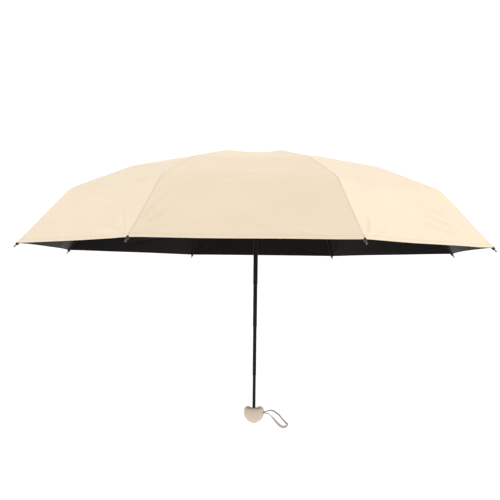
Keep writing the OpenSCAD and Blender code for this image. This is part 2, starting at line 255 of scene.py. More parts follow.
def make_handle_shell():
    tan = (0.62, 0.515, 0.40)
    f = Finish("handle_shell", tan, 0.6, Specular_IOR_Level=0.35)
    where = f.place()
    speck = f.noise(where, 2600.0, 2.0, 0.7)
    cloud = f.noise(where, 160.0, 3.0)
    tone = f.clouded(cloud, tan, 0.95, 1.05)
    tone = f.blend(f.spread(speck, 0.56, 0.72, 0.0, 0.6), tone, (0.50, 0.36, 0.24))
    tone = f.blend(f.spread(speck, 0.44, 0.30, 0.0, 0.4), tone, (0.72, 0.66, 0.55))
    f.vary("Base Color", tone)
    f.vary("Roughness", f.spread(cloud, *FULL_SPREAD, 0.54, 0.68))
    f.bump(speck, 0.16, 0.00012)
    return f.material


def make_webbing():
    taupe = (0.50, 0.43, 0.36)
    f = Finish("strap_webbing", taupe, 0.75, Sheen_Weight=0.3, Sheen_Roughness=0.5)
    where = f.place(uv=True)
    weave = f.weave(where, 330.0, 560.0)
    wear = f.noise(where, 300.0, 4.0)
    tone = f.blend(weave, shade(taupe, 0.62), shade(taupe, 1.16))
    tone = f.blend(f.spread(wear, 0.5, 0.75, 0.0, 0.3), tone, shade(taupe, 1.3))
    f.vary("Base Color", tone)
    f.vary("Roughness", f.spread(weave, 0.0, 1.0, 0.85, 0.66))
    f.bump(weave, 0.6, 0.00025)
    return f.material


def make_thread(name, colour):
    f = Finish(name, colour, 0.6, Sheen_Weight=0.2)
    twist = f.wave(f.place(turn=0.7), 1500.0, "DIAGONAL")
    f.vary("Base Color", f.blend(twist, shade(colour, 0.7), shade(colour, 1.1)))
    f.bump(twist, 0.4, 0.00005)
    return f.material


def make_black_tube():
    black = (0.0095, 0.0088, 0.0080)
    f = Finish("black_tube", black, 0.45, 0.0, Specular_IOR_Level=0.12)
    rub = f.noise(f.place(scale=(900, 900, 14)), 1.0, 4.0, 0.65)
    cloud = f.noise(f.place(), 60.0, 3.0)
    tone = f.clouded(cloud, black, 0.8, 1.4)
    tone = f.blend(f.spread(rub, 0.68, 0.80, 0.0, 0.4), tone, (0.035, 0.032, 0.029))
    f.vary("Base Color", tone)
    f.vary("Roughness", f.spread(rub, 0.3, 0.75, 0.38, 0.54))
    f.bump(rub, 0.05, 0.00005)
    return f.material


def make_rib_metal():
    """Black-coated sections, with the bare metal tip that stands past the canopy's corner."""
    black, bare = (0.009, 0.0085, 0.008), (0.13, 0.125, 0.12)
    f = Finish("rib_metal", black, 0.4, 0.3, Specular_IOR_Level=0.3)
    where = f.place()
    axes = f.node("ShaderNodeSeparateXYZ", {0: where})
    x, y = axes.outputs["X"], axes.outputs["Y"]
    radius = f.sums("SQRT", f.sums("ADD", f.sums("MULTIPLY", x, x), f.sums("MULTIPLY", y, y)), 0.0)
    tip = f.spread(radius, CORNER_R - 0.0004, CORNER_R + 0.0002)
    wear = f.noise(where, 420.0, 4.0, 0.7)
    tone = f.blend(f.spread(wear, 0.6, 0.8, 0.0, 0.35), black, (0.06, 0.056, 0.052))
    f.vary("Base Color", f.blend(tip, tone, bare))
    f.vary("Metallic", f.spread(tip, 0.0, 1.0, 0.4, 1.0))
    f.vary("Roughness", f.spread(wear, *FULL_SPREAD, 0.30, 0.46))
    f.bump(wear, 0.08, 0.00006)
    return f.material


def make_black_plastic(name="black_plastic", black=(0.014, 0.0135, 0.013)):
    f = Finish(name, black, 0.5, Specular_IOR_Level=0.5)
    where = f.place()
    grain = f.noise(where, 1500.0, 2.0)
    cloud = f.noise(where, 90.0, 3.0)
    f.vary("Base Color", f.clouded(cloud, black, 0.8, 1.4))
    f.vary("Roughness", f.spread(cloud, *FULL_SPREAD, 0.40, 0.58))
    f.bump(grain, 0.15, 0.00008)
    return f.material


def make_bare_steel():
    steel = (0.52, 0.51, 0.50)
    f = Finish("bare_steel", steel, 0.32, 1.0)
    brush = f.noise(f.place(scale=(300, 300, 2600)), 1.0, 3.0)
    f.vary("Base Color", f.clouded(brush, steel, 0.8, 1.1))
    f.vary("Roughness", f.spread(brush, *FULL_SPREAD, 0.24, 0.42))
    f.bump(brush, 0.08, 0.00004)
    return f.material


# ---------------------------------------------------------------- the canopy's form

canopy_low, canopy_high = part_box("canopy")
CORNER_R = canopy_high.x / math.cos(RIB_TURN / 2)
CLOTH_T = 0.4 * MM
CORNER_Z = canopy_low.z + 0.6 * MM


def rib_plane_point(joint):
    """(radius, height) of a joint of rib 1."""
    x, y, z = pivots[joint]
    return np.array([math.hypot(x, y), z])


def over(point, before, after, rise):
    """The cloth's point over a joint, on the line that halves the fold between two sections."""
    slope = (math.atan2(*reversed(point - before)) + math.atan2(*reversed(after - point))) / 2
    return point + rise * np.array([-math.sin(slope), math.cos(slope)])


CROWN_Z = pivots["canopy_fold"][2] + 5.4 * MM
FOLD_1 = rib_plane_point("inner_rib_1_pivot")
FOLD_2 = rib_plane_point("middle_rib_1_pivot")
FOLD_3 = rib_plane_point("tip_rib_1_pivot")
CORNER = np.array([CORNER_R, CORNER_Z])
CORNER_RISE = 1.9 * MM
run = CORNER - FOLD_3
tip_length = math.sqrt(run @ run - CORNER_RISE ** 2)
TIP_SLOPE = math.atan2(run[1], run[0]) - math.atan2(CORNER_RISE, tip_length)
TIP_ALONG = np.array([math.cos(TIP_SLOPE), math.sin(TIP_SLOPE)])
TIP_END = FOLD_3 + tip_length * TIP_ALONG    # end of the tip rib's line, under the cloth's corner
OVER_1 = over(FOLD_1, FOLD_1 - np.array([0.01, 0]), FOLD_2, 6.2 * MM)
OVER_2 = over(FOLD_2, FOLD_1, FOLD_3, 2.6 * MM)
OVER_3 = over(FOLD_3, FOLD_2, TIP_END, 6.2 * MM)
BENDS = [                    # point of the cloth line over a rib, and how far its bend is rounded
    (np.array([3.1 * MM, CROWN_Z]), 0.0),
    (np.array([13.5 * MM, CROWN_Z]), 3.0 * MM),
    (OVER_1, 12.0 * MM),
    (OVER_2, 10.0 * MM),
    (OVER_3, 14.0 * MM),
    (CORNER, 0.0),
]


def cloth_line():
    """The rounded line of the cloth over a rib, its lengths, and where its four sections end."""
    points, ends = [BENDS[0][0]], []
    for i in range(1, len(BENDS) - 1):
        (a, _), (p, reach), (b, _) = BENDS[i - 1], BENDS[i], BENDS[i + 1]
        start, stop = p + reach * unit(a - p), p + reach * unit(b - p)
        for t in np.linspace(0, 1, 41):
            points.append((1 - t) ** 2 * start + 2 * t * (1 - t) * p + t * t * stop)
            if abs(t - 0.5) < 1e-9 and i > 1:
                ends.append(len(points) - 1)
    points.append(BENDS[-1][0])
    points = np.array(points)
    lengths = np.r_[0, np.cumsum(np.linalg.norm(np.diff(points, axis=0), axis=1))]
    return points, lengths, [lengths[i] for i in ends] + [lengths[-1]]


LINE, LENGTHS, SECTION_ENDS = cloth_line()
SECTIONS = ("crown", "inner", "middle", "tip")
SECTION_ROWS = (14, 30, 28, 32)
HALF_COLUMNS = 44
HEM_WIDTH = 8.5 * MM
STITCH_LINE = 6.6 * MM
HEM_PULL = 12 * MM           # how far the middle of a hem lies inside its chord
SAG = (0.0, 0.4 * MM, 3.6 * MM, 3.2 * MM, 2.2 * MM, 0.0)
SEAM_COLUMNS = np.array([0.0, 0.6, 1.2, 1.9, 3.2]) * MM

# At a fold the rows fan out from the rib: the first still crosses the whole gore, and the last
# leaves the rib squarely, so that the folded cloth has square ends. Then they straighten towards
# the next fold.
FAN_ROWS = (0, 4, 7, 9)
FAN_CUT = (0.0, 0.43, 0.41, 0.36)
row_lengths, row_cuts, fan_starts, main_starts, section_stops = [0.0], [0.0], [], [], []
for end, rows, fan, cut in zip(SECTION_ENDS, SECTION_ROWS, FAN_ROWS, FAN_CUT):
    last = row_lengths[-1]
    fan_starts.append(len(row_lengths) - 1)
    row_lengths += [last] * fan
    row_cuts += list(np.linspace(0, cut, fan + 1)[1:])
    main_starts.append(len(row_lengths) - 1)
    hem_rows = []
    if end == SECTION_ENDS[-1]:
        hem_rows = [end - HEM_WIDTH, end - STITCH_LINE, end - 3 * MM, end]
    straight = end - HEM_WIDTH - 1.5 * MM if hem_rows else end
    row_lengths += list(np.linspace(last, straight, rows + 1)[1:]) + hem_rows
    row_cuts += list(np.linspace(cut, 0, rows + 1)[1:]) + [0.0] * len(hem_rows)
    section_stops.append(len(row_lengths) - 1)
ROW_S, SQUARE_CUT = np.array(row_lengths), np.array(row_cuts)
STITCH_ROW = int(np.argmin(abs(ROW_S - (SECTION_ENDS[-1] - STITCH_LINE))))
LAST_COLUMN = 2 * HALF_COLUMNS
HALF_TURN_SINE = math.sin(RIB_TURN / 2)


def columns_from_rib(half_width):
    """How far each column of half a gore lies from its rib, closer together along the seam."""
    near = SEAM_COLUMNS * np.minimum(1.0, half_width / 0.02)
    last = len(SEAM_COLUMNS) - 1
    share = (np.arange(last + 1, HALF_COLUMNS + 1) - last) / (HALF_COLUMNS - last)
    return np.concatenate([near, near[:, -1:] + (half_width - near[:, -1:]) * share], axis=1)


def fold_relief(x, e, start, end, width, height):
    """A soft fold of the cloth from start to end, in the gore's own (across, from hem) lengths."""
    a, b = np.array(start), np.array(end)
    d = b - a
    length = np.linalg.norm(d)
    d = d / length
    along = (x - a[0]) * d[0] + (e - a[1]) * d[1]
    off = (x - a[0]) * -d[1] + (e - a[1]) * d[0]
    t = np.clip(along / length, 0, 1)
    fade = np.sin(math.pi * t) ** 0.8 * ((along > 0) & (along < length))
    wide = width * (0.6 + 0.8 * t)
    crest = np.exp(-(off / wide) ** 2)
    trough = np.exp(-((off - 1.9 * wide) / (1.2 * wide)) ** 2)
    return height * fade * (crest - 0.55 * trough)


FRONT_FOLDS = [              # the folds of the front gore: start, end, width, height, in mm
    ((-128, 17), (20, 42), 6, 1.1), ((148, 6), (-60, 62), 5, 1.3), ((120, 14), (-20, 30), 5, 0.7),
    ((-100, 118), (40, 124), 8, 0.9), ((-96, 82), (-20, 96), 6, 0.7), ((22, 92), (92, 70), 5, 0.8),
    ((-152, 22), (-104, 66), 3.5, 1.1), ((-158, 30), (-118, 96), 3.2, 1.2),
    ((80, 40), (150, 64), 5, 0.6), ((-60, 160), (60, 170), 9, 0.7), ((10, 60), (80, 48), 4, 0.6),
]
RIGHT_FOLDS = [
    ((150, 8), (-20, 70), 6, 1.3), ((140, 26), (10, 96), 6, 1.0), ((120, 60), (10, 128), 7, 0.8),
    ((-150, 10), (-118, 50), 4, 1.0), ((-146, 4), (-90, 20), 4, 0.8), ((60, 20), (-80, 36), 6, 0.7),
]
LEFT_FOLDS = [
    ((150, 12), (90, 60), 5, 1.2), ((146, 6), (20, 40), 6, 1.0), ((-140, 20), (-30, 60), 7, 0.7),
    ((60, 90), (-60, 110), 8, 0.7), ((120, 110), (60, 130), 5, 0.8),
]
STATED_FOLDS = {6: FRONT_FOLDS, 7: RIGHT_FOLDS, 5: LEFT_FOLDS}
STATED_RISE = 1.7            # how much stronger the stated folds stand than their heights say


def gore_relief(k, x, a, e, w, s):
    """How far the cloth of gore k stands proud of its smooth form."""
    rng = np.random.default_rng(900 + k)
    height = np.zeros_like(x)
    # the seam over each rib is a low welt, and its stitching puckers the cloth beside it
    height += 0.55 * MM * (1 - smooth_step((a - 0.7 * MM) / (1.1 * MM))) \
        * np.clip(w / 0.03, 0, 1)
    for side in (-1, 1):
        phase = rng.uniform(0, 6.28)
        drift = 1.3 * np.sin(s / 0.037 + rng.uniform(0, 6.28))
        beside = np.exp(-a / (7 * MM)) * smooth_step(a / (2.5 * MM)) * (x * side > 0)
        height += 0.26 * MM * beside * np.sin(2 * math.pi * s / (10.5 * MM) + phase + drift) \
            * np.clip(w / 0.05, 0, 1)
    # folds that fan out from each corner
    for side in (-1, 1):
        for angle in rng.uniform(0.12, 1.15, 5):
            reach = rng.uniform(0.05, 0.11)
            corner = np.array([side * CORNER_R * HALF_TURN_SINE, 0.002])
            end = corner + reach * np.array([-side * math.cos(angle), math.sin(angle)])
            height += fold_relief(x, e, corner, end, 3.2 * MM, rng.uniform(0.3, 0.8) * MM)
    for start, end, width, rise in STATED_FOLDS.get(k, ()):
        height += fold_relief(x, e, np.array(start) * MM, np.array(end) * MM, width * MM,
                              STATED_RISE * rise * MM)
    # long soft folds along the hem
    for _ in range(0 if k in STATED_FOLDS else 6):
        at = rng.uniform(-0.1, 0.1)
        level = rng.uniform(0.02, 0.15)
        reach = rng.uniform(0.05, 0.12)
        tilt = rng.uniform(-0.3, 0.3)
        start, end = (at - reach, level - tilt * reach), (at + reach, level + tilt * reach)
        height += fold_relief(x, e, start, end, rng.uniform(5, 8) * MM, rng.uniform(0.5, 1.0) * MM)
    height *= smooth_step(a / (3 * MM)) * 0.9 + 0.1
    # a slow unevenness of the stretched cloth, and the folded hem
    height += 0.35 * MM * np.sin(x / 0.031 + rng.uniform(0, 6)) \
        * np.sin(s / 0.043 + rng.uniform(0, 6)) * smooth_step(a / 0.02)
    height += 0.35 * MM * smooth_step((HEM_WIDTH + 0.8 * MM - e) / (1.6 * MM))
    height += 0.22 * MM * np.sin(x / (5.1 * MM)) * np.exp(-((e - STITCH_LINE) / (4 * MM)) ** 2) \
        * smooth_step(a / (6 * MM))
    return height


def grid_normals(grid):
    """Area-weighted normals of a grid of points, which point out of the canopy."""
    d1, d2 = grid[1:, 1:] - grid[:-1, :-1], grid[:-1, 1:] - grid[1:, :-1]
    faces = np.cross(d1, d2)
    normals = np.zeros_like(grid)
    normals[:-1, :-1] += faces
    normals[1:, :-1] += faces
    normals[:-1, 1:] += faces
    normals[1:, 1:] += faces
    return normals / np.linalg.norm(normals, axis=2, keepdims=True)


def gore_surface(k):
    """The outer surface of gore k, from rib k to the next: its points and normals, and how far each
    lies across from the middle line, along the rib and from the seam."""
    near, far = rib_direction(k), rib_direction(k + 1)
    middle = unit(near + far)
    s = np.repeat(ROW_S[:, None], HALF_COLUMNS + 1, axis=1)
    for _ in range(5):
        w = np.interp(s, LENGTHS, LINE[:, 0]) * HALF_TURN_SINE
        a = np.stack([columns_from_rib(w[:, [c]])[:, c] for c in range(HALF_COLUMNS + 1)], 1)
        s = ROW_S[:, None] + SQUARE_CUT[:, None] * a
    s, w, a = (np.concatenate([v, v[:, -2::-1]], axis=1) for v in (s, w, a))
    side = np.r_[-np.ones(HALF_COLUMNS), 0, np.ones(HALF_COLUMNS)][None, :] + 0 * a
    r, z = np.interp(s, LENGTHS, LINE[:, 0]), np.interp(s, LENGTHS, LINE[:, 1])
    w = r * HALF_TURN_SINE
    a = np.minimum(a, w)
    x = side * (w - a)
    f = 0.5 + 0.5 * x / w
    between = near + (far - near) * f[..., None]
    hollow = 4 * f * (1 - f)
    up = np.array([0.0, 0.0, 1.0])
    sag_at = np.interp(r, [3 * MM, 20 * MM, OVER_1[0], OVER_2[0], OVER_3[0], CORNER_R], SAG)
    grid = between * r[..., None] + up * z[..., None]
    grid -= middle * (hollow * HEM_PULL * (r / CORNER_R) ** 3)[..., None]
    grid -= up * (hollow * sag_at)[..., None]
    e = SECTION_ENDS[-1] - s
    grid = grid + grid_normals(grid) * gore_relief(k, x, a, e, w, s)[..., None]
    return grid, grid_normals(grid), x, s, a


def closed_cloth(name, top, under, index):
    """A thin closed sheet over a grid of points: its outer side, its inner side, then its rim."""
    quads = np.stack([index[:-1, :-1], index[1:, :-1], index[1:, 1:], index[:-1, 1:]], -1)
    quads = [list(dict.fromkeys(q)) for q in quads.reshape(-1, 4).tolist()]
    edge = np.r_[index[0, :], index[1:, -1], index[-1, -2::-1], index[-2:0:-1, 0]].tolist()
    edge = [v for i, v in enumerate(edge) if v != edge[i - 1]]
    below = len(top)
    rim = [(v, w, w + below, v + below) for v, w in zip(edge, edge[1:] + edge[:1])]
    faces = quads + [[q[0] + below] + [v + below for v in q[:0:-1]] for q in quads] + rim
    materials = [0] * len(quads) + [1] * len(quads) + [0] * len(rim)
    piece = add_mesh(name, np.concatenate([top, under]), faces, [outside, inside], materials)
    return piece, 2 * len(quads)


def lay_weave(mesh, where, from_seam):
    """The cloth's own lengths as its UV map, and how far each point lies from the seam."""
    corners = np.empty(len(mesh.loops), np.int32)
    mesh.loops.foreach_get("vertex_index", corners)
    uv = mesh.uv_layers.new(name="cloth")
    uv.data.foreach_set("uv", np.concatenate([where, where])[corners].astype(np.float32).ravel())
    seam = mesh.attributes.new("from_seam", "FLOAT", "POINT")
    seam.data.foreach_set("value", np.concatenate([from_seam, from_seam]).astype(np.float32))


def cloth_piece(name, surface, rows, cols):
    """One closed piece of cloth cut out of a gore's surface, with the gore's own normals."""
    grid, normals, x, s, a = (v[rows[0]:rows[1] + 1, cols[0]:cols[1] + 1] for v in surface)
    n, m = grid.shape[:2]
    index = np.arange(n * m).reshape(n, m)
    for side in (0, -1):                 # a fan of rows starts from one point
        if np.allclose(grid[0, side], grid[-1, side], atol=1e-7):
            index[:, side] = index[0, side]
    piece, rim_start = closed_cloth(name, grid.reshape(-1, 3),
                                    (grid - normals * CLOTH_T).reshape(-1, 3), index)
    mesh = piece.data
    corners = np.empty(len(mesh.loops), np.int32)
    mesh.loops.foreach_get("vertex_index", corners)
    flat = normals.reshape(-1, 3)
    split = np.concatenate([flat, -flat])[corners]
    for p in mesh.polygons[rim_start:]:
        split[p.loop_start:p.loop_start + 4] = p.normal
    mesh.normals_split_custom_set(split.tolist())
    lay_weave(mesh, np.stack([x.ravel(), s.ravel()], -1), a.ravel())
    if len(np.unique(index)) < n * m:
        drop_loose(mesh)
    return piece


def drop_loose(mesh):
    """Removes the points that no face uses, and keeps the normals."""
    bm = bmesh.new()
    bm.from_mesh(mesh)
    bmesh.ops.delete(bm, geom=[v for v in bm.verts if not v.link_faces], context="VERTS")
    bm.to_mesh(mesh)
    bm.free()


def cut_size(grid):
    """The width and length of a piece of cloth, along its longest lines."""
    def longest(lines):
        return max(np.linalg.norm(np.diff(line, axis=0), axis=1).sum() for line in lines)
    return round(longest(grid), 4), round(longest(grid.swapaxes(0, 1)), 4)


def declare_cloth(surface, rows, cols):
    """Works out a piece of the canopy's length along the rib and its greatest width, and keeps
    neither.
    """
    grid = surface[0][rows[0]:rows[1] + 1, cols[0]:cols[1] + 1]
    width, length = cut_size(grid)


# ---------------------------------------------------------------- the canopy's pieces

outside, inside = make_cloth_outside(), make_cloth_inside()


# how many pieces each gore's crown is cut into
CROWN_SECTORS = 4


def gather(piece):
    """Gives the piece a mesh of its own."""
    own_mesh(piece)


def gore_halves(k):
    """Each half of gore k: the rib it hangs on, the rib it faces, its hand and its columns."""
    return ((k, k + 1, "right", (0, HALF_COLUMNS)),
            (k % RIBS + 1, k, "left", (HALF_COLUMNS, LAST_COLUMN)))


def canopy_piece(name, surface, rows, cols, body):
    piece = cloth_piece(name, surface, rows, cols)
    declare_cloth(surface, rows, cols)
    fasten(piece, body, "canopy")
    return piece


SURFACES = {k: gore_surface(k) for k in range(1, RIBS + 1)}

for k in range(1, RIBS + 1):
    surface = SURFACES[k]
    for section in (1, 2, 3):
        fan, main, stop = fan_starts[section], main_starts[section], section_stops[section]
        for rib, toward, hand, cols in gore_halves(k):
            body = f"{SECTIONS[section]}_rib_{rib}"
            for kind, rows in (("", (main, stop)), ("_wedge", (fan, main))):
                piece = canopy_piece(f"canopy_{SECTIONS[section]}{kind}_{rib}_{hand}", surface,
                                     rows, cols, body)
                gather(piece)
    step = LAST_COLUMN // CROWN_SECTORS
    for part in range(CROWN_SECTORS):
        piece = canopy_piece(f"canopy_crown_{k}_{part + 1}", surface, (0, section_stops[0]),
                             (part * step, (part + 1) * step), "top_tube")
        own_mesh(piece)


# ---------------------------------------------------------------- joint patches

PATCH_COLUMNS = 6            # columns of the cloth, each side of the seam, that a patch spans
PATCH_REACH, PATCH_T = 9 * MM, 0.3 * MM
# section, fold, depth under the cloth, and half of a stretch along the rib either side of the fold,
# in mm
PATCHES = ((1, FOLD_1, 1.3, 7.5), (2, FOLD_2, 0.85, 4.5), (3, FOLD_3, 1.3, 7.5))


def joint_patch(name, k, section, depth):
    """The small cloth patch under the seam where rib k folds, between two of its sections."""
    before = SURFACES[(k - 2) % RIBS + 1]
    after = SURFACES[k]
    fold = ROW_S[main_starts[section]]
    steps = np.linspace(fold - PATCH_REACH, fold + PATCH_REACH, 25)
    columns = [(before, LAST_COLUMN - i) for i in range(PATCH_COLUMNS, 0, -1)] \
        + [(after, i) for i in range(PATCH_COLUMNS + 1)]
    points = np.zeros((len(steps), len(columns), 3))
    for j, (surface, column) in enumerate(columns):
        line = surface[0][:, column] - surface[1][:, column] * depth
        for axis in range(3):
            points[:, j, axis] = np.interp(steps, surface[3][:, column], line[:, axis])
    n, m = points.shape[:2]
    under = (points - grid_normals(points) * PATCH_T).reshape(-1, 3)
    piece, _ = closed_cloth(name, points.reshape(-1, 3), under, np.arange(n * m).reshape(n, m))
    across = np.broadcast_to(np.linspace(-1, 1, m) * 7 * MM, (n, m)).ravel()
    lay_weave(piece.data, np.stack([across, np.repeat(steps, m)], -1), np.full(n * m, 0.01))
    cut_size(points)
    return piece


for k in range(1, RIBS + 1):
    for section, fold, depth, reach in PATCHES:
        piece = joint_patch(f"joint_patch_{k}_{section}", k, section, depth * MM)
        at = ROW_S[main_starts[section]]
        before, after = (LINE[np.searchsorted(LENGTHS, at + side * 0.004)] for side in (-1, 1))
        line = unit(after - before)
        start, end = (in_rib_plane(k, *(fold + line * reach * MM * side)) for side in (-1, 1))
        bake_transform(piece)


# ---------------------------------------------------------------- stitching

def thread_tree(name, material, pitch, thread, extra, make_thread_bit):
    """Nodes that set a bit of thread at every pitch along a line, turned to the line's run."""
    tree = bpy.data.node_groups.new(name, "GeometryNodeTree")
    face = tree.interface
    face.new_socket("Line", in_out="INPUT", socket_type="NodeSocketGeometry")
    for label, size in (("Pitch", pitch), ("Thread Radius", thread), extra):
        socket = face.new_socket(label, in_out="INPUT", socket_type="NodeSocketFloat")
        socket.default_value = size
    face.new_socket("Thread", in_out="OUTPUT", socket_type="NodeSocketGeometry")
    new, link = tree.nodes.new, tree.links.new
    source, result = new("NodeGroupInput"), new("NodeGroupOutput")
    curve, spaced = new("GeometryNodeMeshToCurve"), new("GeometryNodeResampleCurve")
    spaced.mode = "LENGTH"
    link(source.outputs["Line"], curve.inputs["Mesh"])
    link(curve.outputs["Curve"], spaced.inputs["Curve"])
    link(source.outputs["Pitch"], spaced.inputs["Length"])
    tangent, turn = new("GeometryNodeInputTangent"), new("FunctionNodeAlignRotationToVector")
    turn.axis = "Z"
    link(tangent.outputs["Tangent"], turn.inputs["Vector"])
    put, real = new("GeometryNodeInstanceOnPoints"), new("GeometryNodeRealizeInstances")
    paint = new("GeometryNodeSetMaterial")
    paint.inputs["Material"].default_value = material
    link(spaced.outputs["Curve"], put.inputs["Points"])
    link(turn.outputs["Rotation"], put.inputs["Rotation"])
    make_thread_bit(new, link, source, put)
    link(put.outputs["Instances"], real.inputs["Geometry"])
    link(real.outputs["Geometry"], paint.inputs["Geometry"])
    link(paint.outputs["Geometry"], result.inputs["Thread"])
    return tree


def stitch(new, link, source, put):
    """A stitch is a small rounded bar."""
    bead = new("GeometryNodeMeshUVSphere")
    bead.inputs["Segments"].default_value, bead.inputs["Rings"].default_value = 6, 4
    bead.inputs["Radius"].default_value = 1.0
    half = new("ShaderNodeMath")
    half.operation = "MULTIPLY"
    half.inputs[1].default_value = 0.5
    link(source.outputs["Stitch Length"], half.inputs[0])
    size = new("ShaderNodeCombineXYZ")
    link(source.outputs["Thread Radius"], size.inputs["X"])
    link(source.outputs["Thread Radius"], size.inputs["Y"])
    link(half.outputs[0], size.inputs["Z"])
    link(bead.outputs["Mesh"], put.inputs["Instance"])
    link(size.outputs["Vector"], put.inputs["Scale"])


def turn_of_thread(new, link, source, put):
    """A tie is wound from round turns of thread."""
    loop, strand = (new("GeometryNodeCurvePrimitiveCircle") for _ in range(2))
    skin = new("GeometryNodeCurveToMesh")
    loop.inputs["Resolution"].default_value, strand.inputs["Resolution"].default_value = 20, 6
    link(source.outputs["Loop Radius"], loop.inputs["Radius"])
    link(source.outputs["Thread Radius"], strand.inputs["Radius"])
    link(loop.outputs["Curve"], skin.inputs["Curve"])
    link(strand.outputs["Curve"], skin.inputs["Profile Curve"])
    link(skin.outputs["Mesh"], put.inputs["Instance"])


def sew(name, line, tree, **sizes):
    """Thread along a line of points, as a plain mesh."""
    mesh = bpy.data.meshes.new(name + "_line")
    mesh.from_pydata([tuple(p) for p in line], [(i, i + 1) for i in range(len(line) - 1)], [])
    holder = bpy.data.objects.new(name + "_line", mesh)
    bpy.context.scene.collection.objects.link(holder)
    modifier = holder.modifiers.new("stitches", "NODES")
    modifier.node_group = tree
    sockets = {s.name: s.identifier for s in tree.interface.items_tree if s.in_out == "INPUT"}
    for key, value in sizes.items():
        modifier[sockets[key.replace("_", " ")]] = value
    return flatten_modifiers(holder, name)


# where each section is tied: the share of its length, how far the loop's middle stands over the
# pivots' line, and the loop's radius
TIES = {"inner_rib": ((0.5, 1.1, 2.4),), "middle_rib": ((0.5, 0.9, 2.3),),
        "tip_rib": ((0.20, 1.95, 2.0), (0.62, 0.95, 1.4))}
black_thread = make_thread("rib_thread", (0.016, 0.015, 0.014))
rib_ties = thread_tree("ties", black_thread, 0.6 * MM, 0.26 * MM, ("Loop Radius", 3.2 * MM),
                       turn_of_thread)
for k in range(1, RIBS + 1):
    for (section, places), start, end in zip(TIES.items(), (FOLD_1, FOLD_2, FOLD_3),
                                             (FOLD_2, FOLD_3, TIP_END)):
        along = unit(end - start)
        up = np.array([-along[1], along[0]])
        for n, (share, middle, radius) in enumerate(places):
            at = start + (end - start) * share + up * middle * MM
            line = [in_rib_plane(k, *(at + along * t * MM)) for t in (-0.9, 0, 0.9)]
            piece = sew(f"{section}_tie_{k}_{n + 1}", line, rib_ties, Loop_Radius=radius * MM)
            fasten(piece, f"{section}_{k}")


cream_thread = make_thread("hem_thread", (0.72, 0.61, 0.44))
hem_stitches = thread_tree("stitches", cream_thread, 3.6 * MM, 0.22 * MM,
                           ("Stitch Length", 2.6 * MM), stitch)
for k in range(1, RIBS + 1):
    grid, normals = SURFACES[k][:2]
    line = grid[STITCH_ROW] + normals[STITCH_ROW] * 0.12 * MM
    for rib, toward, hand, cols in gore_halves(k):
        half = line[max(cols[0], 1):min(cols[1] + 1, LAST_COLUMN)]
        piece = sew(f"hem_stitches_{rib}_{hand}", half, hem_stitches)
        fasten(piece, f"tip_rib_{rib}")
        gather(piece)


# ---------------------------------------------------------------- the wrist strap

STRAP_ROUTE = [              # x, y, z in mm, and the turn of the band about its run
    (14.5, 0, 5.8, 0), (19.5, 0, 5.8, 0), (25.5, 1, 7, 0), (32, 2, 8.2, 5), (37.5, 3, 7, 10),
    (43, 4, 3.5, 12), (49, 5, -1.5, 12), (55, 5, -8.5, 12), (61, 4, -14.5, 15),
    (64, 2.5, -17.5, 25), (63.5, 1, -20, 35), (60.5, 0, -22, 45), (56.5, -1, -22.5, 50),
    (51.5, -2.5, -20.5, 50), (46, -3.5, -15.5, 45), (40.5, -4, -9.5, 35),
    (35, -3.5, -3.5, 20), (30.5, -2.5, 0.5, 10), (26, -1, 2.8, 0), (20, 0, 3.6, 0),
    (14.5, 0, 3.6, 0),
]
STRAP_WIDTH, STRAP_THICKNESS = 7 * MM, 1.3 * MM


def rounded_route(points, steps):
    """A smooth curve through the points, by Catmull-Rom."""
    p = np.array(points, float)
    p = np.vstack([2 * p[0] - p[1], p, 2 * p[-1] - p[-2]])
    t = np.linspace(0, 1, steps, endpoint=False)[:, None]
    parts = [0.5 * (2 * b + (c - a) * t + (2 * a - 5 * b + 4 * c - d) * t ** 2
                    + (3 * b - a - 3 * c + d) * t ** 3)
             for a, b, c, d in zip(p, p[1:], p[2:], p[3:])]
    return np.vstack(parts + [p[-2:-1]])


def woven_band():
    """The flat woven band of the wrist strap, swept along its route with both ends closed."""
    route = rounded_route(STRAP_ROUTE, 9)
    run, turn = route[:, :3] * MM, np.radians(route[:, 3])
    tangent = np.gradient(run, axis=0)
    tangent /= np.linalg.norm(tangent, axis=1, keepdims=True)
    flat = np.array([0, 1.0, 0]) - tangent * tangent[:, 1:2]
    flat /= np.linalg.norm(flat, axis=1, keepdims=True)
    up = np.cross(tangent, flat)
    c, q = np.cos(turn)[:, None], np.sin(turn)[:, None]
    wide, thick = flat * c + up * q, up * c - flat * q
    # half of the band's section: a thin middle between two thicker woven edges
    half = [(0, 0.40), (0.30, 0.40), (0.62, 0.42), (0.80, 0.50), (0.93, 0.42), (1.0, 0.12)]
    upper = [(-u, v) for u, v in half[:0:-1]] + half
    section = upper + [(u, -v) for u, v in upper[::-1]]
    n, m = len(section), len(run)
    points = np.stack([run + wide * u * STRAP_WIDTH / 2 + thick * v * STRAP_THICKNESS
                       for u, v in section], 1).reshape(-1, 3)
    index = np.arange(n * m).reshape(m, n)
    faces = [(index[i, j], index[i + 1, j], index[i + 1, (j + 1) % n], index[i, (j + 1) % n])
             for i in range(m - 1) for j in range(n)]
    faces += [tuple(index[0]), tuple(index[-1, ::-1])]
    piece = add_mesh("wrist_strap_band", points, faces, [webbing])
    lengths = np.r_[0, np.cumsum(np.linalg.norm(np.diff(run, axis=0), axis=1))]
    steps = [0] + [math.dist(a, b) for a, b in zip(section, section[1:])]
    across = np.cumsum(steps) * STRAP_WIDTH / 2
    uv = piece.data.uv_layers.new(name="cloth")
    for loop in piece.data.loops:
        i, j = divmod(loop.vertex_index, n)
        uv.data[loop.index].uv = (across[j], lengths[i])
    return piece, run, float(lengths[-1])


